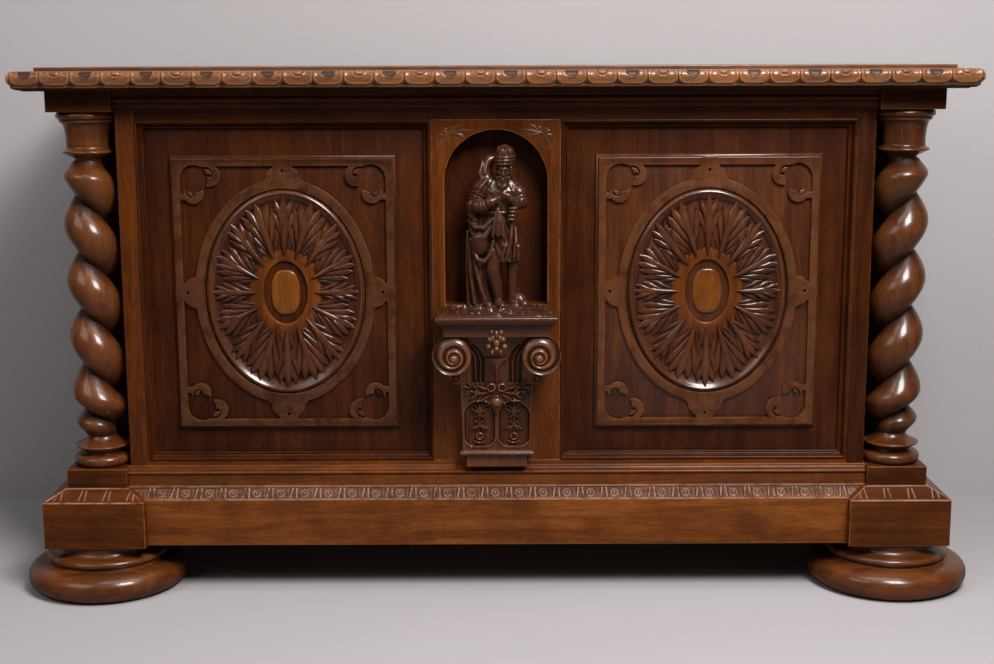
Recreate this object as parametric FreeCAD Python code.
"""Cassone: a carved chest on bun feet, with free barley-twist columns at the front corners.

Millimetres. The origin is on the floor under the middle of the chest, +X is the right-hand end
as seen from the front, the front faces -Y and +Z is up. Each piece is written to parts/ as its
own STEP file, named after the piece.
"""
import FreeCAD, Part
import math
import os

Vector = FreeCAD.Vector

# Plan of the corners: a foot, a plinth block and, at the front, a column share each axis
corner_axis_x = 697.0
corner_axis_y = 186.0
block_size = 175.0
case_inset = 58.5
lid_front_overhang = 13.5
lid_end_overhang = 15.5

# Heights, from the floor up
foot_height = 88.0
block_height = 82.0
slope_height = 18.0
column_base_height = 33.0
column_height = 616.0
abacus_height = 35.0
lid_thickness = 39.0

# Case framing
frame_thickness = 30.0
front_stile_width = 31.0
end_stile_width = 60.0
rear_post_size = 45.0
top_rail_width = 50.0
bottom_rail_width = 42.0
centre_board_width = 220.0
centre_board_thickness = 47.0
panel_thickness = 12.0
panel_setback = 17.0
back_panel_setback = 9.0
back_muntin_width = 80.0

# Plinth
plinth_rail_inset = 19.5
plinth_rail_thickness = 30.0
slope_run = 26.0
block_slope_run = 33.5
floor_ledge = 20.0
floor_board_thickness = 12.0
floor_board_count = 3
bearer_width = 40.0
bearer_thickness = 30.0
bearer_count = 3
fascia_height = 34.0
fascia_thickness = 10.0
fascia_lip = 2.5
fascia_bead_radius = 3.0
fascia_cove_height = 8.0

# Bun foot
foot_radius = 139.0
foot_pad_radius = 114.0
foot_bun_height = 60.0
foot_groove_radius = 100.0
foot_ring_radius = 108.0
foot_ring_height = 14.0
foot_groove_height = 5.0
foot_neck_radius = 84.0

# Column
column_base_size = 104.0
abacus_size = 109.0
twist_lobe_radius = 47.0
twist_valley_radius = 21.0
twist_lobe_power = 1.2
twist_pitch = 98.0
twist_top_lobe_height = 749.0
twist_fade_length = 30.0
twist_end_step = 1.5
column_foot_torus_radius = 50.5
column_foot_torus_height = 20.0
column_waist_radius = 33.0
column_waist_height = 4.0
column_foot_ring_radius = 47.5
column_foot_ring_edge_height = 11.0
column_foot_ring_height = 29.0
column_tail_radius = 42.0
column_tail_height = 37.0
column_neck_radius = 27.5
column_cap_radius = 52.0
column_cap_torus_height = 17.5
column_cap_flare_radius = 46.0
column_cap_flare_height = 5.5
column_bell_radius = 40.0
column_bell_waist_radius = 36.5
column_bell_height = 38.0
column_cap_ring_radius = 44.0
column_cap_ring_edge_height = 11.0
column_cap_ring_height = 18.0
column_cap_neck_radius = 24.0
column_cap_neck_height = 4.0

# Lid
lid_edge_width = 36.0
lid_field_rise = 6.5
lid_edge_fillet_inset = 18.0
lid_edge_fillet_height = 8.0
lid_edge_underside_inset = 5.0
lid_edge_round_height = 9.0
lid_edge_top_inset = 7.0
batten_width = 60.0
batten_thickness = 20.0
batten_reach_front = 170.0
batten_reach_back = 230.0
batten_spacing = 460.0
batten_count = 3

# Frieze moulding under the lid
frieze_projection = 18.0
frieze_fillet = 4.0
frieze_fillet_height = 6.0
frieze_cove_height = 9.0
frieze_bolection = 14.0
frieze_bolection_height = 10.0

# Panel moulding, measured inward from the frame's edge and outward from the panel
moulding_width = 13.0
moulding_bead_width = 5.0
moulding_bead_rise = 1.5
moulding_hollow_height = 6.0
moulding_inner_bead_width = 3.5
moulding_inner_bead_rise = 2.0

# Carved field on each front panel
field_width = 376.0
field_height = 466.0
field_drop = 2.0
field_lip = 6.0
field_lip_thickness = 6.0
field_lip_bevel = 3.0
strap_width = 12.0
strap_thickness = 6.0
oval_rise = 3.0
ring_half_width = 154.8
ring_half_height = 195.6
ring_band = 15.0
groove_band = 3.0
groove_depth = 5.0
bead_band = 5.0
bead_rise = 2.0
dish_rim_depth = 2.0
dish_depth = 9.0
collar_half_width = 52.0
collar_half_height = 65.0
collar_rise = 6.0
recess_half_width = 37.0
recess_half_height = 53.6
cabochon_half_width = 25.0
cabochon_half_height = 39.7
cabochon_rise = 9.0
corner_hollow_radius = 23.0
corner_curl_radius = 17.8
corner_curl_offset = 61.0
corner_curl_inset = 29.0
lobe_strap_width = 22.0
lobe_ring_width = 60.0
side_lobe_strap_width = 19.0
side_lobe_ring_width = 51.0
leaf_count = 16
leaf_tip_clearance = 3.0
leaf_thickness = 9.0
leaf_width = 52.0

# Niche in the centre board
niche_radius = 88.0
niche_floor_height = 505.0
niche_spring_height = 717.0
niche_back_thickness = 12.0
niche_back_margin = 22.0

# Shelf of the statuette
shelf_width = 205.0
shelf_projection = 110.0
shelf_slab_height = 15.0
shelf_cyma_inset = 8.0
shelf_tier_height = 24.0
shelf_tier_inset = 15.0
shelf_tier_cove = 6.0
shelf_fillet_height = 4.0
shelf_lip = 1.0

# Corbel under the shelf
corbel_top_half_width = 65.0
corbel_foot_half_width = 60.0
corbel_top_projection = 84.0
corbel_foot_projection = 28.0
corbel_foot_height = 254.0
corbel_curve_power = 1.6
corbel_block_height = 244.5
corbel_block_foot = 224.0
corbel_block_half_width = 52.0
corbel_block_projection = 24.0
corbel_fillet_margin = 4.0
corbel_panel_half_width = 20.0
corbel_panel_centre = 28.0
corbel_panel_bottom = 268.0
corbel_panel_drop = 39.0
corbel_panel_depth = 5.0
husk_half_width = 7.0
husk_rise = 6.0
husk_length = 30.0
husk_count = 3
husk_offset_share = 0.6
boss_radius = 13.0
boss_drop = 61.0
volute_radius = 33.0
volute_centre_x = 75.0
volute_lead = 8.0
volute_band = 8.0
volute_turns = 1.75
volute_tail_lap = 1.5
volute_relief = 5.0
volute_eye_radius = 7.0
volute_eye_rise = 4.0

# Statuette
figure_height = 285.0
figure_centre_y = 228.0

# Hinges
hinge_spacing = 900.0
hinge_length = 90.0
hinge_leaf_reach = 28.0
hinge_leaf_thickness = 2.5
hinge_barrel_radius = 6.0
hinge_barrel_gap = 0.5
hinge_pin_radius = 2.5
hinge_pin_clearance = 0.05
hinge_knuckle_gap = 0.3

# Fineness of turned, oval and curved work
turned_sides = 20
column_sides = 12
twist_sides = 12
twist_steps_per_turn = 8
oval_sides = 24
curl_sides = 10
scroll_sides = 18
figure_sides = 10
limb_sides = 6
barrel_sides = 12
round_steps = 4
corbel_steps = 8
flatness = 1e-6
cut_overrun = 2.0

# Worked out from the sizes above
block_half = block_size / 2
block_face_x = corner_axis_x + block_half
block_face_y = corner_axis_y + block_half
block_inner_x = corner_axis_x - block_half
block_inner_y = corner_axis_y - block_half
case_end_x = block_face_x - case_inset
case_front_y = block_face_y - case_inset
case_back_y = block_face_y
block_top = foot_height + block_height
case_foot = block_top + slope_height
column_foot = case_foot + column_base_height
column_top = column_foot + column_height
case_top = column_top + abacus_height
lid_top = case_top + lid_thickness
lid_edge_top = lid_top - lid_field_rise
abacus_half = abacus_size / 2
column_base_half = column_base_size / 2
notch_x = corner_axis_x - abacus_half
notch_y = corner_axis_y - abacus_half
opening_x = notch_x - front_stile_width
centre_half = centre_board_width / 2
opening_foot = case_foot + bottom_rail_width
opening_head = case_top - top_rail_width
frame_back_y = case_front_y - frame_thickness
frame_inner_x = case_end_x - frame_thickness
back_frame_y = case_back_y - frame_thickness
end_opening_front = notch_y - end_stile_width
end_opening_back = case_back_y - rear_post_size
rear_post_x = case_end_x - rear_post_size
lid_front_y = block_face_y + lid_front_overhang
lid_half_width = block_face_x + lid_end_overhang
lid_board_front = lid_front_y - lid_edge_width
lid_board_half = lid_half_width - lid_edge_width
panel_front_y = case_front_y - panel_setback
field_centre_x = (centre_half + opening_x) / 2
field_centre_height = (opening_foot + opening_head) / 2 - field_drop
hinge_axis_y = case_back_y + hinge_barrel_gap + hinge_barrel_radius
shelf_top = niche_floor_height
shelf_foot = shelf_top - shelf_slab_height - shelf_tier_height
boss_height = shelf_foot - boss_drop
corbel_panel_spring = boss_height - corbel_panel_drop


def box(x0, x1, y0, y1, z0, z1):
    """Rectangular block between two corners."""
    return Part.makeBox(x1 - x0, y1 - y0, z1 - z0, Vector(x0, y0, z0))


def arc_points(centre, radii, start, end, steps):
    """Points on an arc of an ellipse, angles in degrees, both ends included."""
    points = []
    for step in range(steps + 1):
        angle = math.radians(start + (end - start) * step / steps)
        points.append((centre[0] + radii[0] * math.cos(angle),
                       centre[1] + radii[1] * math.sin(angle)))
    return points


def flat_face(points):
    """Face bounded by a closed outline of points."""
    return Part.Face(Part.makePolygon(points + [points[0]]))


def facets(a, b, c, d):
    """One flat face through four corners, or two triangles where they are not in one plane."""
    corners = []
    for point in (a, b, c, d):
        if all(point.distanceToPoint(other) > flatness for other in corners):
            corners.append(point)
    if len(corners) < 3:
        return []
    if len(corners) == 3:
        return [flat_face(corners)]
    normal = (b - a).cross(c - a)
    if abs(normal.dot(d - a)) <= flatness * normal.Length:
        return [flat_face(corners)]
    return [flat_face([a, b, c]), flat_face([a, c, d])]


def closed_solid(faces):
    """Solid inside a closed set of faces, facing outwards."""
    shell = Part.makeShell(faces)
    shell.sewShape()
    solid = Part.makeSolid(shell)
    if solid.Volume < 0:
        solid.reverse()
    return solid


def skinned(rings):
    """Solid with a skin from ring to ring, closed by flat ends. All rings have equal counts."""
    faces = [flat_face(rings[0]), flat_face(rings[-1])]
    for lower, upper in zip(rings, rings[1:]):
        for index in range(len(lower)):
            after = (index + 1) % len(lower)
            faces += facets(lower[index], lower[after], upper[after], upper[index])
    return closed_solid(faces)


def turned(profile, axis_x, axis_y, sides):
    """Turned piece: a profile of (radius, height) carried round an upright axis."""
    rings = []
    for radius, height in profile:
        ring = []
        for side in range(sides):
            angle = 2 * math.pi * side / sides
            ring.append(Vector(axis_x + radius * math.cos(angle),
                               axis_y + radius * math.sin(angle), height))
        rings.append(ring)
    return skinned(rings)


def moulding(section, start, end, out, up, mitre_start=0, mitre_end=0):
    """Straight length of a (out, up) section; a mitre of 1 grows outward and -1 shrinks."""
    along = (end - start).normalize()
    ring_start = [start + out * o + up * h - along * (mitre_start * o) for o, h in section]
    ring_end = [end + out * o + up * h + along * (mitre_end * o) for o, h in section]
    return skinned([ring_start, ring_end])


def mirrored(shape):
    """The same piece for the left-hand end."""
    return shape.mirror(Vector(0, 0, 0), Vector(1, 0, 0))


def rectangle_ring(x0, x1, y0, y1, z):
    """Level rectangle of four corners."""
    return [Vector(x0, y0, z), Vector(x1, y0, z), Vector(x1, y1, z), Vector(x0, y1, z)]


def foot_profile():
    """Bun, groove, small ring and neck of a foot, from the floor up."""
    groove_top = foot_bun_height + foot_groove_height
    bun_depth = foot_radius - foot_pad_radius
    ring_depth = foot_ring_radius - foot_groove_radius
    profile = arc_points((foot_pad_radius, foot_bun_height / 2),
                         (bun_depth, foot_bun_height / 2), -90, 90, round_steps)
    profile.append((foot_groove_radius, foot_bun_height))
    profile.append((foot_groove_radius, groove_top))
    profile += arc_points((foot_groove_radius, groove_top + foot_ring_height / 2),
                          (ring_depth, foot_ring_height / 2), -60, 60, round_steps // 2)
    profile.append((foot_neck_radius, groove_top + foot_ring_height))
    profile.append((foot_neck_radius, foot_height))
    return profile


def make_foot(side_x, side_y):
    """Bun foot under one corner."""
    return turned(foot_profile(), side_x * corner_axis_x, side_y * corner_axis_y, turned_sides)


def make_front_block():
    """Front right plinth block: a cube with its top sloping in to the column's base."""
    lower = (block_inner_x, block_face_x, -block_face_y, -block_inner_y)
    run = block_slope_run
    return skinned([
        rectangle_ring(*lower, foot_height),
        rectangle_ring(*lower, block_top),
        rectangle_ring(lower[0] + run, lower[1] - run, lower[2] + run, lower[3] - run, case_foot),
    ])


def make_rear_block():
    """Rear right plinth block: it slopes only at the end and towards the front."""
    lower = (block_inner_x, block_face_x, block_inner_y, block_face_y)
    run = block_slope_run
    return skinned([
        rectangle_ring(*lower, foot_height),
        rectangle_ring(*lower, block_top),
        rectangle_ring(lower[0], lower[1] - run, lower[2] + run, lower[3], case_foot),
    ])


def make_plinth_rails():
    """The four boards between the plinth blocks, by name."""
    face_y = block_face_y - plinth_rail_inset
    face_x = block_face_x - plinth_rail_inset
    front = box(-block_inner_x, block_inner_x, -face_y, -face_y + plinth_rail_thickness,
                foot_height, block_top)
    right = box(face_x - plinth_rail_thickness, face_x, -block_inner_y, block_inner_y,
                foot_height, block_top)
    back = box(-block_inner_x, block_inner_x, case_back_y - plinth_rail_thickness, case_back_y,
               foot_height, case_foot)
    return {"plinth_rail_front": front, "plinth_rail_right": right,
            "plinth_rail_left": mirrored(right), "plinth_rail_back": back}


def make_leaf_moulding(blocks):
    """Boards on the plinth rails whose edge slopes back to the fascia: front and both ends."""
    outer = block_face_y - plinth_rail_inset - case_front_y
    inner = -frame_thickness - floor_ledge
    section = [(inner, block_top), (outer, block_top), (outer - slope_run, case_foot),
               (inner, case_foot)]
    up = Vector(0, 0, 1)
    front_end = corner_axis_x - column_base_half
    side_end = corner_axis_y - column_base_half
    front = moulding(section, Vector(-front_end, -case_front_y, 0),
                     Vector(front_end, -case_front_y, 0), Vector(0, -1, 0), up)
    right = moulding(section, Vector(case_end_x, -side_end, 0),
                     Vector(case_end_x, side_end, 0), Vector(1, 0, 0), up)
    pieces = []
    for piece in (front, right, mirrored(right)):
        for block in blocks:
            piece = piece.cut(block)
        pieces += piece.Solids
    return Part.makeCompound(pieces)


def fascia_section():
    """Fascia with a bead near its top and a cove above it."""
    bead_foot = case_foot + fascia_height - fascia_cove_height - 2 * fascia_bead_radius
    bead_top = bead_foot + 2 * fascia_bead_radius
    section = [(0, case_foot), (fascia_thickness, case_foot), (fascia_thickness, bead_foot)]
    section += arc_points((fascia_thickness, bead_foot + fascia_bead_radius),
                          (fascia_bead_radius, fascia_bead_radius), -90, 90, round_steps)[1:-1]
    section += [(fascia_thickness, bead_top), (fascia_lip, bead_top + fascia_cove_height),
                (0, bead_top + fascia_cove_height)]
    return section


def make_fascia():
    """Fascia over the leaf moulding: front and both ends."""
    up = Vector(0, 0, 1)
    front_end = corner_axis_x - column_base_half
    side_start = corner_axis_y - column_base_half
    front = moulding(fascia_section(), Vector(-front_end, -case_front_y, 0),
                     Vector(front_end, -case_front_y, 0), Vector(0, -1, 0), up)
    right = moulding(fascia_section(), Vector(case_end_x, -side_start, 0),
                     Vector(case_end_x, case_back_y, 0), Vector(1, 0, 0), up)
    return Part.makeCompound([front, right, mirrored(right)])


def make_front_post():
    """Front right corner post: stile, re-entrant corner for the column and end stile."""
    outline = [(opening_x, -case_front_y), (notch_x, -case_front_y), (notch_x, -notch_y),
               (case_end_x, -notch_y), (case_end_x, -end_opening_front),
               (frame_inner_x, -end_opening_front), (frame_inner_x, -notch_y + frame_thickness),
               (opening_x, -notch_y + frame_thickness)]
    face = flat_face([Vector(x, y, case_foot) for x, y in outline])
    return face.extrude(Vector(0, 0, case_top - case_foot))


def make_rear_post():
    """Rear right corner post."""
    return box(rear_post_x, case_end_x, end_opening_back, case_back_y, case_foot, case_top)


def make_front_rail(z0, z1):
    """Rail of the front frame between the corner posts."""
    return box(-opening_x, opening_x, -case_front_y, -frame_back_y, z0, z1)


def make_end_rails():
    """Top and bottom rails of the right-hand end."""
    reach = (frame_inner_x, case_end_x, -end_opening_front, end_opening_back)
    return Part.makeCompound([box(*reach, case_foot, opening_foot),
                              box(*reach, opening_head, case_top)])


def make_back_frame(hinge_cuts):
    """Top rail, bottom rail and muntin of the back, with the hinge leaves let in."""
    reach = (-rear_post_x, rear_post_x, back_frame_y, case_back_y)
    top = box(*reach, opening_head, case_top).cut(hinge_cuts)
    bottom = box(*reach, case_foot, opening_foot)
    muntin = box(-back_muntin_width / 2, back_muntin_width / 2, back_frame_y, case_back_y,
                 opening_foot, opening_head)
    return Part.makeCompound([top, bottom, muntin])


def make_back_panels():
    """The two panels of the back."""
    face_y = case_back_y - back_panel_setback
    right = box(back_muntin_width / 2, rear_post_x, face_y - panel_thickness, face_y,
                opening_foot, opening_head)
    return Part.makeCompound([right, mirrored(right)])


def make_end_panel():
    """Flat panel of the right-hand end."""
    face_x = case_end_x - panel_setback
    return box(face_x - panel_thickness, face_x, -end_opening_front, end_opening_back,
               opening_foot, opening_head)


def make_front_panel():
    """Flat panel to the right of the centre board."""
    return box(centre_half, opening_x, -panel_front_y, -panel_front_y + panel_thickness,
               opening_foot, opening_head)


def panel_moulding_section():
    """Outer bead, hollow and inner bead; (inward from the frame, outward from the panel)."""
    bead_radii = (moulding_bead_width / 2, moulding_bead_rise)
    inner_radii = (moulding_inner_bead_width / 2, moulding_inner_bead_rise)
    section = [(0, 0)]
    section += arc_points((bead_radii[0], panel_setback), bead_radii, 180, 0, round_steps)
    section += arc_points((moulding_width - inner_radii[0], moulding_hollow_height),
                          inner_radii, 180, 0, round_steps)
    section += [(moulding_width, 0)]
    return section


def make_panel_moulding(corners, outward):
    """Four mitred lengths inside a rectangle of corners, given in order."""
    pieces = []
    middle = (corners[0] + corners[2]) * 0.5
    for index, corner in enumerate(corners):
        following = corners[(index + 1) % 4]
        along = (following - corner).normalize()
        inward = along.cross(outward)
        if inward.dot(middle - corner) < 0:
            inward = inward * -1
        pieces.append(moulding(panel_moulding_section(), corner, following, inward, outward,
                               -1, -1))
    return Part.makeCompound(pieces)


def make_front_panel_moulding():
    """Mitred moulding round the right-hand front panel."""
    corners = [Vector(x, -panel_front_y, z) for x, z in
               ((centre_half, opening_foot), (opening_x, opening_foot),
                (opening_x, opening_head), (centre_half, opening_head))]
    return make_panel_moulding(corners, Vector(0, -1, 0))


def make_end_panel_moulding():
    """Mitred moulding round the panel of the right-hand end."""
    corners = [Vector(case_end_x - panel_setback, y, z) for y, z in
               ((-end_opening_front, opening_foot), (end_opening_back, opening_foot),
                (end_opening_back, opening_head), (-end_opening_front, opening_head))]
    return make_panel_moulding(corners, Vector(1, 0, 0))


def make_centre_board():
    """Thick board between the front panels with a round-headed niche through it."""
    board = box(-centre_half, centre_half, -case_front_y, -case_front_y + centre_board_thickness,
                opening_foot, opening_head)
    face_y = -case_front_y - cut_overrun
    foot_left = Vector(-niche_radius, face_y, niche_floor_height)
    foot_right = Vector(niche_radius, face_y, niche_floor_height)
    spring_left = Vector(-niche_radius, face_y, niche_spring_height)
    spring_right = Vector(niche_radius, face_y, niche_spring_height)
    crown = Vector(0, face_y, niche_spring_height + niche_radius)
    outline = Part.Wire([
        Part.LineSegment(foot_left, foot_right).toShape(),
        Part.LineSegment(foot_right, spring_right).toShape(),
        Part.Arc(spring_right, crown, spring_left).toShape(),
        Part.LineSegment(spring_left, foot_left).toShape(),
    ])
    depth = centre_board_thickness + 2 * cut_overrun
    return board.cut(Part.Face(outline).extrude(Vector(0, depth, 0)))


def make_niche_back():
    """Board that closes the niche from behind."""
    front = -case_front_y + centre_board_thickness
    return box(-centre_half, centre_half, front, front + niche_back_thickness,
               niche_floor_height - niche_back_margin, opening_head)


def field_y(depth):
    """Height of relief above the panel as a Y place."""
    return -panel_front_y - depth


def oval_ring(half_width, half_height, relief):
    """Ring of points on an upright oval of the carved field."""
    centre_z = field_centre_height + oval_rise
    return [Vector(field_centre_x + x, field_y(relief), centre_z + z) for x, z in
            arc_points((0, 0), (half_width, half_height), 0, 360, oval_sides)[:-1]]


def make_oval_boss():
    """Ring, groove and bead round a hollow dish, with the collar and the cabochon's recess."""
    ground = field_lip_thickness
    band_top = ground + strap_thickness
    groove_inset = ring_band + groove_band
    bead_inset = groove_inset + bead_band
    dish_rim = band_top - dish_rim_depth
    dish_floor = band_top - dish_depth
    collar_top = dish_floor + collar_rise
    insets = [(0, 0), (0, band_top), (ring_band, band_top),
              (ring_band, band_top - groove_depth), (groove_inset, band_top - groove_depth),
              (groove_inset + bead_band / 2, band_top + bead_rise), (bead_inset, dish_rim)]
    rings = [oval_ring(ring_half_width - inset, ring_half_height - inset, relief)
             for inset, relief in insets]
    rim_width = ring_half_width - bead_inset
    rim_height = ring_half_height - bead_inset
    middle_width = (rim_width + collar_half_width) / 2
    middle_height = (rim_height + collar_half_height) / 2
    rings.append(oval_ring(middle_width, middle_height, dish_floor))
    rings.append(oval_ring(collar_half_width, collar_half_height, collar_top))
    rings.append(oval_ring(recess_half_width, recess_half_height, collar_top))
    rings.append(oval_ring(recess_half_width, recess_half_height, collar_top - collar_rise))
    rings.append(oval_ring(cabochon_half_width, cabochon_half_height,
                           collar_top - collar_rise))
    return skinned(rings)


def leaf_at(angle):
    """One leaf of the rosette: a ridged blade from the collar to its tip in the dish."""
    centre = Vector(field_centre_x, 0, field_centre_height + oval_rise)
    tip_inset = ring_band + groove_band + bead_band + leaf_tip_clearance
    direction = Vector(math.cos(angle), 0, math.sin(angle))
    foot = Vector(direction.x * collar_half_width, 0, direction.z * collar_half_height)
    tip = Vector(direction.x * (ring_half_width - tip_inset), 0,
                 direction.z * (ring_half_height - tip_inset))
    across = Vector(-direction.z, 0, direction.x)
    base = field_lip_thickness / 2
    crest = field_lip_thickness + strap_thickness - dish_depth
    place_shares = ((0.0, 0.55, 0.5), (0.5, 1.0, 1.0), (0.8, 0.7, 0.9), (1.0, 0.03, 0.4))
    rings = []
    for reach_share, width_share, rise_share in place_shares:
        middle = centre + foot + (tip - foot) * reach_share
        left = middle - across * (leaf_width / 2 * width_share)
        right = middle + across * (leaf_width / 2 * width_share)
        rings.append([Vector(left.x, field_y(base), left.z),
                      Vector(right.x, field_y(base), right.z),
                      Vector(middle.x, field_y(crest + leaf_thickness * rise_share), middle.z)])
    return skinned(rings)


def field_prism(outline, base, relief):
    """Flat-topped relief from an outline of (x, z) places measured from the field's centre."""
    points = [Vector(field_centre_x + x, field_y(base), field_centre_height + z)
              for x, z in outline]
    return flat_face(points).extrude(Vector(0, base - relief, 0))


def make_field_board():
    """Backing board of the carved field with a bevelled lip."""
    half_width = field_width / 2 + field_lip
    half_height = field_height / 2 + field_lip
    bevel = field_lip_bevel
    rings = []
    for inset, relief in ((0, 0), (0, field_lip_thickness - bevel), (bevel, field_lip_thickness)):
        rings.append([Vector(field_centre_x + side_x * (half_width - inset), field_y(relief),
                             field_centre_height + side_z * (half_height - inset))
                      for side_x, side_z in ((-1, -1), (1, -1), (1, 1), (-1, 1))])
    return skinned(rings)


def make_strap_frame():
    """Flat strap round the field, swelling into two curls beside a hollow at each corner."""
    base = field_lip_thickness / 2
    top = field_lip_thickness + strap_thickness
    half_width = field_width / 2
    half_height = field_height / 2
    corners = ((1, 1), (-1, 1), (-1, -1), (1, -1))
    outer = [(side_x * half_width, side_z * half_height) for side_x, side_z in corners]
    inner = []
    hollow_inset = strap_width + corner_hollow_radius
    for index, (side_x, side_z) in enumerate(corners):
        centre = (side_x * (half_width - hollow_inset), side_z * (half_height - hollow_inset))
        inner += arc_points(centre, (corner_hollow_radius, corner_hollow_radius),
                            90 * index, 90 * (index + 1), round_steps)
    frame = field_prism(outer, base, top).cut(field_prism(inner, base, top))
    for side_x, side_z in corners:
        for reach_x, reach_z in ((corner_curl_offset, corner_curl_inset),
                                 (corner_curl_inset, corner_curl_offset)):
            centre = (side_x * (half_width - reach_x), side_z * (half_height - reach_z))
            curl = arc_points(centre, (corner_curl_radius, corner_curl_radius),
                              0, 360, curl_sides)[:-1]
            frame = frame.fuse(field_prism(curl, base, top))
    return frame


def make_lobes():
    """Four flaring lobes that tie the oval ring to the strap frame."""
    base = field_lip_thickness / 2
    top = field_lip_thickness + strap_thickness
    strap_z = field_height / 2 - strap_width
    strap_x = field_width / 2 - strap_width
    lobes = []
    for side in (-1, 1):
        ring_z = oval_rise + side * (ring_half_height - ring_band)
        upright = [(-lobe_strap_width / 2, side * strap_z), (lobe_strap_width / 2, side * strap_z),
                   (lobe_ring_width / 2, ring_z), (-lobe_ring_width / 2, ring_z)]
        lobes.append(field_prism(upright, base, top))
        ring_x = side * (ring_half_width - ring_band)
        level = [(side * strap_x, oval_rise - side_lobe_strap_width / 2),
                 (side * strap_x, oval_rise + side_lobe_strap_width / 2),
                 (ring_x, oval_rise + side_lobe_ring_width / 2),
                 (ring_x, oval_rise - side_lobe_ring_width / 2)]
        lobes.append(field_prism(level, base, top))
    return lobes


def make_carved_field():
    """Carved field of the right-hand panel, worked from one board."""
    inset = ring_band / 2
    hole = skinned([oval_ring(ring_half_width - inset, ring_half_height - inset, relief)
                    for relief in (0, field_lip_thickness + strap_thickness + bead_rise)])
    surround = make_field_board().fuse([make_strap_frame()] + make_lobes()).cut(hole)
    leaves = [leaf_at(2 * math.pi * index / leaf_count) for index in range(leaf_count)]
    return surround.fuse([make_oval_boss()] + leaves)


def make_cabochon():
    """Domed boss in the middle of the rosette."""
    seat = field_lip_thickness + strap_thickness - dish_depth
    level_shares = ((1.0, 0.0), (0.95, 0.6), (0.65, 1.0))
    rings = []
    for scale_share, rise_share in level_shares:
        rings.append(oval_ring(cabochon_half_width * scale_share,
                               cabochon_half_height * scale_share,
                               seat + cabochon_rise * rise_share))
    return skinned(rings)


def twist_radius(phase):
    """Radius of the barley twist round one turn of its single ridge, phase in turns."""
    away = abs(phase - round(phase))
    swell = math.cos(math.pi * away) ** twist_lobe_power
    return twist_valley_radius + (twist_lobe_radius - twist_valley_radius) * swell


def make_twist(hand, foot, head):
    """Single-start barley twist between two levels, fading into round ends."""
    steps = round((head - foot) / twist_pitch * twist_steps_per_turn)
    rings = []
    for step in range(steps + 1):
        share = step / steps
        height = foot + (head - foot) * share
        end_radius = (column_neck_radius * (1 - share) + column_cap_neck_radius * share
                      - twist_end_step)
        blend = min(1.0, min(height - foot, head - height) / twist_fade_length)
        turn = hand * (height - twist_top_lobe_height) / twist_pitch
        ring = []
        for side in range(twist_sides):
            phase = side / twist_sides
            angle = 2 * math.pi * (phase + turn)
            radius = end_radius + (twist_radius(phase) - end_radius) * blend
            ring.append(Vector(corner_axis_x + radius * math.cos(angle),
                               -corner_axis_y + radius * math.sin(angle), height))
        rings.append(ring)
    return skinned(rings)


def flared_ring(foot, foot_radius, edge_height, edge_radius, height, head_radius):
    """Profile of a turned ring that hollows out to a thin edge and rounds in above it."""
    edge = foot + edge_height
    lower = arc_points((foot_radius, edge), (edge_radius - foot_radius, edge_height),
                       -90, 0, round_steps // 2)
    upper = arc_points((head_radius, edge), (edge_radius - head_radius, height - edge_height),
                       0, 90, round_steps // 2)
    return lower + upper[1:]


def column_foot_profile():
    """Turned foot of the column: torus, waist, flared ring and the tail bead of the twist."""
    half = column_foot_torus_height / 2
    shoulder = column_foot_torus_radius - half
    profile = arc_points((shoulder, column_foot + half), (half, half), -90, 90, round_steps)
    level = column_foot + column_foot_torus_height
    profile.append((column_waist_radius, level))
    level += column_waist_height
    profile += flared_ring(level, column_waist_radius, column_foot_ring_edge_height,
                           column_foot_ring_radius, column_foot_ring_height,
                           column_neck_radius)
    level += column_foot_ring_height
    tail_half = column_tail_height / 2
    profile += arc_points((column_neck_radius, level + tail_half),
                          (column_tail_radius - column_neck_radius, tail_half),
                          -70, 70, round_steps)
    level += column_tail_height
    profile.append((column_neck_radius, level))
    return profile


def column_cap_profile():
    """Turned head of the column: neck, flared ring, hollow bell, flare and torus."""
    level = column_top - column_cap_torus_height
    half = column_cap_torus_height / 2
    torus = arc_points((column_cap_radius - half, column_top - half), (half, half),
                       -90, 90, round_steps)
    flare_foot = level - column_cap_flare_height
    bell_foot = flare_foot - column_bell_height
    ring_foot = bell_foot - column_cap_ring_height
    neck_foot = ring_foot - column_cap_neck_height
    profile = [(column_cap_neck_radius, neck_foot)]
    profile += flared_ring(ring_foot, column_cap_neck_radius, column_cap_ring_edge_height,
                           column_cap_ring_radius, column_cap_ring_height,
                           column_bell_waist_radius)
    profile += [(column_bell_waist_radius, bell_foot + column_bell_height / 3),
                (column_bell_radius, flare_foot), (column_cap_flare_radius, level)]
    return profile + torus


def make_column(hand):
    """Right-hand column in one piece, turned at both ends and twisted between them."""
    foot_profile_points = column_foot_profile()
    cap_profile_points = column_cap_profile()
    foot_part = turned(foot_profile_points, corner_axis_x, -corner_axis_y, column_sides)
    cap_part = turned(cap_profile_points, corner_axis_x, -corner_axis_y, column_sides)
    shaft = make_twist(hand, foot_profile_points[-1][1], cap_profile_points[0][1])
    return foot_part.fuse([shaft, cap_part])


def make_column_base(post):
    """Square base of the right-hand column, rebated round the corner post."""
    half = column_base_half
    base = box(corner_axis_x - half, corner_axis_x + half, -corner_axis_y - half,
               -corner_axis_y + half, case_foot, column_foot)
    return base.cut(post)


def make_abacus():
    """Square block between the right-hand column and the lid."""
    half = abacus_half
    return box(corner_axis_x - half, corner_axis_x + half, -corner_axis_y - half,
               -corner_axis_y + half, column_top, case_top)


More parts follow.
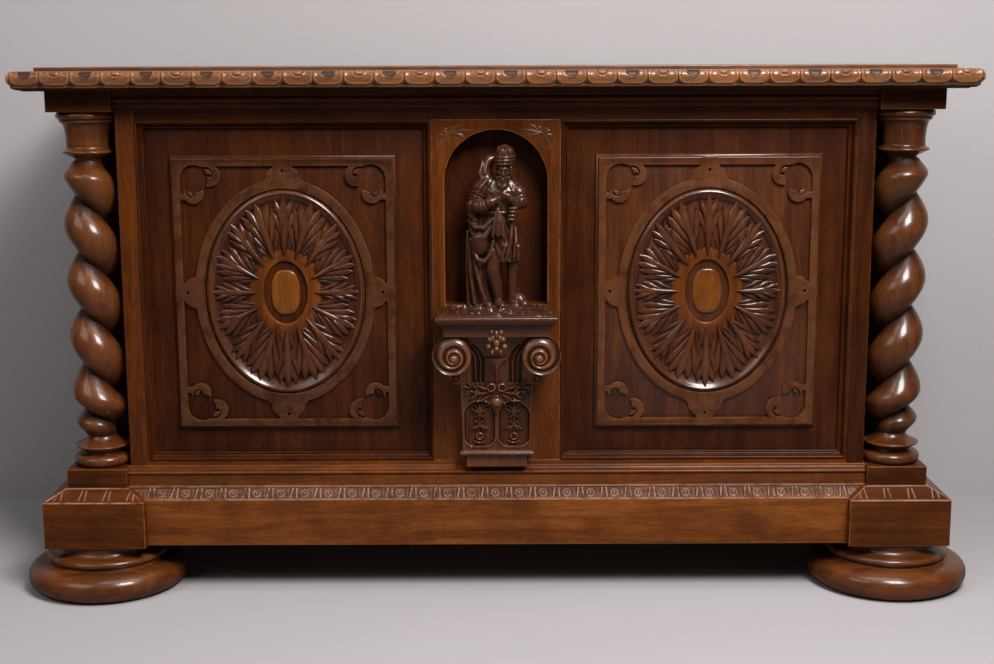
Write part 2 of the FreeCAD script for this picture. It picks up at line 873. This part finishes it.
def frieze_section():
    """Fillet, cove and round that step out under the lid."""
    fillet_top = column_top + frieze_fillet_height
    cove_top = fillet_top + frieze_cove_height
    cove_run = frieze_bolection - frieze_fillet
    section = [(0, column_top), (frieze_fillet, column_top)]
    section += arc_points((frieze_bolection, fillet_top), (cove_run, frieze_cove_height),
                          180, 90, round_steps)
    section += arc_points((frieze_bolection, cove_top + frieze_bolection_height / 2),
                          (frieze_projection - frieze_bolection, frieze_bolection_height / 2),
                          -90, 90, round_steps)[1:]
    section += [(frieze_projection, cove_top + frieze_bolection_height),
                (frieze_projection, case_top), (0, case_top)]
    return section


def make_frieze():
    """Frieze moulding between the abaci and along both ends."""
    up = Vector(0, 0, 1)
    front = moulding(frieze_section(), Vector(-notch_x, -case_front_y, 0),
                     Vector(notch_x, -case_front_y, 0), Vector(0, -1, 0), up)
    right = moulding(frieze_section(), Vector(case_end_x, -notch_y, 0),
                     Vector(case_end_x, case_back_y, 0), Vector(1, 0, 0), up)
    return Part.makeCompound([front, right, mirrored(right)])


def make_floor_boards(posts):
    """Boards of the chest's floor, notched round the corner posts and the columns' corners."""
    depth = (back_frame_y + frame_back_y) / floor_board_count
    corner = box(opening_x, case_end_x, -case_front_y, -notch_y + frame_thickness,
                 case_foot, case_top)
    boards = []
    for index in range(floor_board_count):
        start = -frame_back_y + depth * index
        board = box(-frame_inner_x, frame_inner_x, start, start + depth, case_foot,
                    case_foot + floor_board_thickness)
        for post in posts + [corner, mirrored(corner)]:
            board = board.cut(post)
        boards += board.Solids
    return Part.makeCompound(boards)


def make_bearers():
    """Bearers under the floor boards, from the front moulding board to the back rail."""
    front = -frame_back_y + floor_ledge
    back = case_back_y - plinth_rail_thickness
    step = 2 * block_inner_x / (bearer_count + 1)
    bearers = []
    for index in range(bearer_count):
        middle = -block_inner_x + step * (index + 1)
        bearers.append(box(middle - bearer_width / 2, middle + bearer_width / 2, front, back,
                           case_foot - bearer_thickness, case_foot))
    return Part.makeCompound(bearers)


def block_levels(levels):
    """Solid against the front of the case from (half width, projection, height) levels."""
    return skinned([rectangle_ring(-half, half, -case_front_y - projection, -case_front_y, z)
                    for half, projection, z in levels])


def make_corbel_shelf():
    """Two-tier shelf with a cyma edge and a rough ground for the statuette."""
    half = shelf_width / 2
    reach = shelf_projection
    slab_foot = shelf_top - shelf_slab_height
    tier_half = half - shelf_tier_inset
    tier_reach = reach - shelf_tier_inset
    cove = shelf_tier_cove
    return block_levels([
        (tier_half - cove, tier_reach - cove, shelf_foot),
        (tier_half, tier_reach, shelf_foot + cove),
        (tier_half, tier_reach, slab_foot - shelf_lip),
        (half - shelf_cyma_inset, reach - shelf_cyma_inset, slab_foot),
        (half - shelf_cyma_inset / 2, reach - shelf_cyma_inset / 2,
         slab_foot + shelf_fillet_height),
        (half, reach, shelf_top - shelf_fillet_height),
        (half, reach, shelf_top)])


def corbel_projection(height):
    """How far the corbel stands out at a height: it swells upwards in a hollow curve."""
    share = (height - corbel_foot_height) / (shelf_foot - corbel_foot_height)
    swell = corbel_top_projection - corbel_foot_projection
    return corbel_foot_projection + swell * share ** corbel_curve_power


def corbel_half_width(height):
    """Half of the corbel's width at a height."""
    share = (height - corbel_foot_height) / (shelf_foot - corbel_foot_height)
    return corbel_foot_half_width + (corbel_top_half_width - corbel_foot_half_width) * share


def arched_outline(centre_x, half_width, foot, spring, y):
    """Closed outline of a sunk panel with a round head."""
    head = arc_points((centre_x, spring), (half_width, half_width), 0, 180, 2 * round_steps)
    points = [(centre_x - half_width, foot), (centre_x + half_width, foot)] + head
    return [Vector(x, y, z) for x, z in points]


def make_husk(centre_x, height):
    """One bud of a pendant husk, pointed at its foot."""
    front = -case_front_y - corbel_projection(height)
    back = front + corbel_panel_depth + husk_rise
    shares = ((0.05, -0.5, 0.2), (0.8, -0.1, 0.8), (1.0, 0.2, 1.0), (0.4, 0.5, 0.4))
    rings = []
    for width_share, height_share, rise_share in shares:
        z = height + husk_length * height_share
        half = husk_half_width * width_share
        face = front + corbel_panel_depth - husk_rise * rise_share
        rings.append([Vector(centre_x - half, back, z), Vector(centre_x, face, z),
                      Vector(centre_x + half, back, z)])
    return skinned(rings)


def make_volute():
    """Right-hand scroll of the corbel: a disc with a spiral band and an eye on its front."""
    centre_x = volute_centre_x
    centre_z = shelf_foot - volute_radius
    front = -case_front_y - corbel_top_projection - volute_lead
    disc = [Vector(x, front, z) for x, z in
            arc_points((centre_x, centre_z), (volute_radius, volute_radius),
                       0, 360, scroll_sides)[:-1]]
    body = flat_face(disc).extrude(Vector(0, corbel_top_projection + volute_lead, 0))
    steps = round(volute_turns * scroll_sides / 2)
    tail_radius = volute_eye_radius + volute_tail_lap
    outer, inner = [], []
    for step in range(steps + 1):
        share = step / steps
        angle = math.pi / 2 + 2 * math.pi * volute_turns * share
        radius = volute_radius + (tail_radius - volute_radius) * share
        width = volute_band * (1 - share / 2)
        for line, reach in ((outer, radius), (inner, radius - width)):
            line.append(Vector(centre_x + reach * math.cos(angle), front,
                               centre_z + reach * math.sin(angle)))
    band = flat_face(outer + inner[::-1]).extrude(Vector(0, -volute_relief, 0))
    eye = [Vector(x, front, z) for x, z in
           arc_points((centre_x, centre_z), (volute_eye_radius, volute_eye_radius),
                      0, 360, curl_sides)[:-1]]
    return body.fuse([band, flat_face(eye).extrude(Vector(0, -volute_relief - volute_eye_rise, 0))])


def make_corbel():
    """Corbel: swelling body with two sunk arched panels, husks, a boss and two scrolls."""
    levels = []
    for step in range(corbel_steps + 1):
        z = corbel_foot_height + (shelf_foot - corbel_foot_height) * step / corbel_steps
        levels.append((corbel_half_width(z), corbel_projection(z), z))
    body = block_levels(levels)
    sunk = body.cut(body.translated(Vector(0, corbel_panel_depth, 0)))
    reach = corbel_top_projection + cut_overrun
    husks = []
    for side in (-1, 1):
        centre_x = side * corbel_panel_centre
        outline = arched_outline(centre_x, corbel_panel_half_width, corbel_panel_bottom,
                                 corbel_panel_spring, -case_front_y - reach)
        body = body.cut(flat_face(outline).extrude(Vector(0, reach, 0)).common(sunk))
        spacing = (corbel_panel_spring - corbel_panel_bottom) / husk_count
        for index in range(husk_count):
            height = corbel_panel_bottom + spacing * (index + husk_offset_share)
            husks.append(make_husk(centre_x, height))
    boss_profile = arc_points((0, boss_height), (boss_radius, boss_radius), -70, 70, round_steps)
    boss = turned(boss_profile, 0, -case_front_y - corbel_projection(boss_height), curl_sides)
    fillet = block_levels([
        (corbel_foot_half_width, corbel_foot_projection + corbel_fillet_margin,
         corbel_block_height),
        (corbel_foot_half_width, corbel_foot_projection + corbel_fillet_margin,
         corbel_foot_height)])
    block = block_levels([
        (corbel_block_half_width, corbel_block_projection, corbel_block_foot),
        (corbel_block_half_width, corbel_block_projection, corbel_block_height)])
    volute = make_volute()
    return body.fuse(husks + [boss, fillet, block, volute, mirrored(volute)])


def figure_point(x_share, y_share, z_share):
    """Place in the statuette, in shares of its height from the middle of its foot."""
    return Vector(x_share * figure_height, -figure_centre_y + y_share * figure_height,
                  shelf_top + z_share * figure_height)


def rounded_stack(levels):
    """Solid through level ovals: (x, y, z, half width, half depth), shares of the height."""
    sides = figure_sides
    rings = []
    for x, y, z, half_width, half_depth in levels:
        centre = figure_point(x, y, z)
        rings.append([centre + Vector(half_width * figure_height * math.cos(angle),
                                      half_depth * figure_height * math.sin(angle), 0)
                      for angle in (2 * math.pi * side / sides for side in range(sides))])
    return skinned(rings)


def limb(place_shares, radius_shares):
    """Solid along a bent line of places, with a radius at each of them."""
    sides = limb_sides
    points = [figure_point(*place) for place in place_shares]
    rings = []
    for index, point in enumerate(points):
        before = points[max(index - 1, 0)]
        after = points[min(index + 1, len(points) - 1)]
        along = (after - before).normalize()
        across = along.cross(Vector(0, 0, 1))
        if across.Length < flatness:
            across = Vector(1, 0, 0)
        across.normalize()
        other = along.cross(across)
        radius = radius_shares[index] * figure_height
        rings.append([point + across * (radius * math.cos(angle))
                      + other * (radius * math.sin(angle))
                      for angle in (2 * math.pi * side / sides for side in range(sides))])
    return skinned(rings)


def make_figure():
    """Statuette: a standing bearded man in cap, cloak and tunic, carved from one piece."""
    ground_shares = ((0, 0, 0.0, 0.2, 0.15), (0, 0, 0.02, 0.17, 0.12))
    ground = rounded_stack(ground_shares)
    skirt_shares = ((0.01, 0, 0.27, 0.095, 0.075), (0.01, 0, 0.36, 0.1, 0.078),
                    (0.0, 0, 0.5, 0.082, 0.066), (0.0, 0, 0.57, 0.07, 0.056))
    torso_shares = ((0.0, 0, 0.55, 0.078, 0.064), (0.0, -0.005, 0.66, 0.092, 0.068),
                    (0.0, 0, 0.76, 0.1, 0.06), (0.0, 0, 0.81, 0.07, 0.05),
                    (0.0, 0, 0.835, 0.035, 0.035))
    cloak_shares = ((-0.09, 0.02, 0.01, 0.075, 0.075), (-0.085, 0.025, 0.2, 0.07, 0.075),
                    (-0.07, 0.03, 0.45, 0.075, 0.065), (-0.04, 0.03, 0.7, 0.1, 0.055),
                    (-0.01, 0.025, 0.8, 0.085, 0.045))
    head_shares = ((0.015, -0.01, 0.82, 0.025, 0.03), (0.015, -0.015, 0.85, 0.038, 0.045),
                   (0.015, -0.012, 0.89, 0.043, 0.05), (0.015, -0.01, 0.92, 0.043, 0.048))
    cap_shares = ((0.015, -0.008, 0.915, 0.055, 0.06), (0.015, -0.006, 0.945, 0.06, 0.064),
                  (0.015, -0.002, 0.975, 0.05, 0.054), (0.015, 0.0, 1.0, 0.025, 0.03))
    beard_shares = ((0.015, -0.05, 0.73, 0.012, 0.015), (0.015, -0.052, 0.78, 0.03, 0.024),
                    (0.015, -0.045, 0.84, 0.036, 0.028), (0.015, -0.04, 0.86, 0.034, 0.02))
    solids = [ground]
    for levels in (skirt_shares, torso_shares, cloak_shares, head_shares, cap_shares,
                   beard_shares):
        solids.append(rounded_stack(levels))
    leg_radius_shares = (0.04, 0.034, 0.026)
    boot_radius_shares = (0.026, 0.026, 0.016)
    for side in (-1, 1):
        leg_shares = ((side * 0.04, 0.0, 0.3), (side * 0.045, -0.01, 0.16),
                      (side * 0.05, 0.0, 0.045))
        boot_shares = ((side * 0.05, 0.01, 0.035), (side * 0.06, -0.03, 0.032),
                       (side * 0.07, -0.07, 0.022))
        solids.append(limb(leg_shares, leg_radius_shares))
        solids.append(limb(boot_shares, boot_radius_shares))
    cloak_arm_shares = ((-0.095, 0.0, 0.76), (-0.125, -0.02, 0.64), (-0.07, -0.08, 0.66),
                        (-0.01, -0.085, 0.74))
    cloak_arm_radius_shares = (0.045, 0.045, 0.034, 0.022)
    solids.append(limb(cloak_arm_shares, cloak_arm_radius_shares))
    other_arm_shares = ((0.095, 0.0, 0.76), (0.125, -0.015, 0.63), (0.09, -0.08, 0.62),
                        (0.03, -0.09, 0.68))
    other_arm_radius_shares = (0.04, 0.038, 0.03, 0.022)
    solids.append(limb(other_arm_shares, other_arm_radius_shares))
    pouch_shares = ((0.052, -0.048, 0.55), (0.058, -0.062, 0.5), (0.058, -0.062, 0.45))
    pouch_radius_shares = (0.018, 0.028, 0.022)
    solids.append(limb(pouch_shares, pouch_radius_shares))
    rock_shares = ((0.13, 0.0, 0.0, 0.07, 0.06), (0.13, 0.0, 0.05, 0.045, 0.04),
                   (0.125, 0.0, 0.08, 0.02, 0.02))
    solids.append(rounded_stack(rock_shares))
    return solids[0].fuse(solids[1:])


def lid_edge_section():
    """Edge moulding of the lid: fillet below, round-cornered carved band above."""
    width = lid_edge_width
    band_foot = case_top + lid_edge_fillet_height
    top_radii = (lid_edge_top_inset, lid_edge_round_height)
    foot_radii = (lid_edge_underside_inset, lid_edge_round_height)
    section = [(0, case_top), (width - lid_edge_fillet_inset, case_top),
               (width - lid_edge_fillet_inset, band_foot)]
    section += arc_points((width - lid_edge_underside_inset, band_foot + lid_edge_round_height),
                          foot_radii, -90, 0, round_steps)
    section += arc_points((width - lid_edge_top_inset, lid_edge_top - lid_edge_round_height),
                          top_radii, 0, 90, round_steps)
    section.append((0, lid_edge_top))
    return section


def make_lid_edges():
    """Mitred edge mouldings of the lid, by name."""
    up = Vector(0, 0, 1)
    corner = Vector(lid_board_half, -lid_board_front, 0)
    front = moulding(lid_edge_section(), Vector(-lid_board_half, -lid_board_front, 0), corner,
                     Vector(0, -1, 0), up, 1, 1)
    right = moulding(lid_edge_section(), corner, Vector(lid_board_half, case_back_y, 0),
                     Vector(1, 0, 0), up, 1, 0)
    return {"lid_edge_front": front, "lid_edge_right": right, "lid_edge_left": mirrored(right)}


def make_lid_board(hinge_cuts):
    """Lid board, standing a little above its edge mouldings."""
    board = box(-lid_board_half, lid_board_half, -lid_board_front, case_back_y, case_top, lid_top)
    return board.cut(hinge_cuts)


def make_lid_battens():
    """Battens across the underside of the lid."""
    battens = []
    for index in range(batten_count):
        middle = (index - (batten_count - 1) / 2) * batten_spacing
        battens.append(box(middle - batten_width / 2, middle + batten_width / 2,
                           -batten_reach_front, batten_reach_back,
                           case_top - batten_thickness, case_top))
    return Part.makeCompound(battens)


def hinge_places():
    """Middle of each hinge along the back edge."""
    return (-hinge_spacing / 2, hinge_spacing / 2)


def along_x_cylinder(radius, x0, x1):
    """Round bar on the hinge axis."""
    return Part.makeCylinder(radius, x1 - x0, Vector(x0, hinge_axis_y, case_top),
                             Vector(1, 0, 0))


def barrel(x0, x1):
    """Outside of a hinge knuckle."""
    outline = [Vector(x0, y, z) for y, z in
               arc_points((hinge_axis_y, case_top), (hinge_barrel_radius, hinge_barrel_radius),
                          0, 360, barrel_sides)[:-1]]
    return flat_face(outline).extrude(Vector(x1 - x0, 0, 0))


def knuckle_spans(middle):
    """Three equal knuckles of a hinge, with running gaps: case, lid, case."""
    third = hinge_length / 3
    start = middle - hinge_length / 2
    spans = []
    for index in range(3):
        low = start + third * index
        high = low + third
        if index == 1:
            low += hinge_knuckle_gap
            high -= hinge_knuckle_gap
        spans.append((low, high))
    return spans


def hinge_leaf(middle, spans, z0, z1):
    """Leaf let in between lid and case, with its tongues and barrels."""
    half = hinge_length / 2
    plate = box(middle - half, middle + half, case_back_y - hinge_leaf_reach, case_back_y, z0, z1)
    pieces = []
    for low, high in spans:
        pieces.append(box(low, high, case_back_y, hinge_axis_y, z0, z1))
        pieces.append(barrel(low, high))
    bore = along_x_cylinder(hinge_pin_radius + hinge_pin_clearance, middle - half - cut_overrun,
                            middle + half + cut_overrun)
    return plate.fuse(pieces).cut(bore)


def make_hinges():
    """Case leaves, lid leaves and pins of the butt hinges, by name."""
    case_leaves, lid_leaves, pins = [], [], []
    for middle in hinge_places():
        spans = knuckle_spans(middle)
        case_leaves.append(hinge_leaf(middle, [spans[0], spans[2]],
                                      case_top - hinge_leaf_thickness, case_top))
        lid_leaves.append(hinge_leaf(middle, [spans[1]],
                                     case_top, case_top + hinge_leaf_thickness))
        pins.append(along_x_cylinder(hinge_pin_radius, spans[0][0], spans[2][1]))
    return {"hinge_case_leaves": Part.makeCompound(case_leaves),
            "hinge_lid_leaves": Part.makeCompound(lid_leaves),
            "hinge_pins": Part.makeCompound(pins)}


def hinge_recesses(z0, z1):
    """Space for the hinge leaves in the wood on one side of the joint."""
    half = hinge_length / 2
    return Part.makeCompound([box(middle - half, middle + half, case_back_y - hinge_leaf_reach,
                                  case_back_y + cut_overrun, z0, z1)
                              for middle in hinge_places()])


def both_sides(name, right):
    """A piece and its mirror image, by name."""
    return {name + "_right": right, name + "_left": mirrored(right)}


def build():
    """Every piece of the chest, by name."""
    front_block = make_front_block()
    rear_block = make_rear_block()
    front_post = make_front_post()
    rear_post = make_rear_post()
    blocks = [front_block, mirrored(front_block), rear_block, mirrored(rear_block)]
    posts = [front_post, mirrored(front_post), rear_post, mirrored(rear_post)]
    case_recess = hinge_recesses(case_top - hinge_leaf_thickness, case_top + cut_overrun)
    lid_recess = hinge_recesses(case_top - cut_overrun, case_top + hinge_leaf_thickness)
    pieces = {}
    for side_name, side_x in (("left", -1), ("right", 1)):
        pieces["foot_front_" + side_name] = make_foot(side_x, -1)
        pieces["foot_rear_" + side_name] = make_foot(side_x, 1)
    pieces.update(both_sides("plinth_block_front", front_block))
    pieces.update(both_sides("plinth_block_rear", rear_block))
    pieces.update(make_plinth_rails())
    pieces["leaf_moulding"] = make_leaf_moulding(blocks)
    pieces["base_fascia"] = make_fascia()
    pieces.update(both_sides("corner_post_front", front_post))
    pieces.update(both_sides("corner_post_rear", rear_post))
    pieces["front_bottom_rail"] = make_front_rail(case_foot, opening_foot)
    pieces["front_top_rail"] = make_front_rail(opening_head, case_top)
    pieces["centre_board"] = make_centre_board()
    pieces["niche_back"] = make_niche_back()
    pieces.update(both_sides("front_panel", make_front_panel()))
    pieces.update(both_sides("panel_moulding", make_front_panel_moulding()))
    pieces.update(both_sides("carved_field", make_carved_field()))
    pieces.update(both_sides("cabochon", make_cabochon()))
    pieces.update(both_sides("end_rails", make_end_rails()))
    pieces.update(both_sides("end_panel", make_end_panel()))
    pieces.update(both_sides("end_panel_moulding", make_end_panel_moulding()))
    pieces["back_frame"] = make_back_frame(case_recess)
    pieces["back_panels"] = make_back_panels()
    pieces["floor_boards"] = make_floor_boards(posts)
    pieces["floor_bearers"] = make_bearers()
    pieces.update(both_sides("column_base", make_column_base(front_post)))
    pieces.update(both_sides("column", make_column(1)))
    pieces.update(both_sides("abacus", make_abacus()))
    pieces["frieze_moulding"] = make_frieze()
    pieces["corbel"] = make_corbel()
    pieces["corbel_shelf"] = make_corbel_shelf()
    pieces["figure"] = make_figure()
    pieces["lid_board"] = make_lid_board(lid_recess)
    pieces.update(make_lid_edges())
    pieces["lid_battens"] = make_lid_battens()
    pieces.update(make_hinges())
    return pieces


def main():
    """Write each piece to its own STEP file."""
    os.makedirs("parts", exist_ok=True)
    for name, shape in sorted(build().items()):
        shape.exportStep("parts/" + name + ".step")


main()
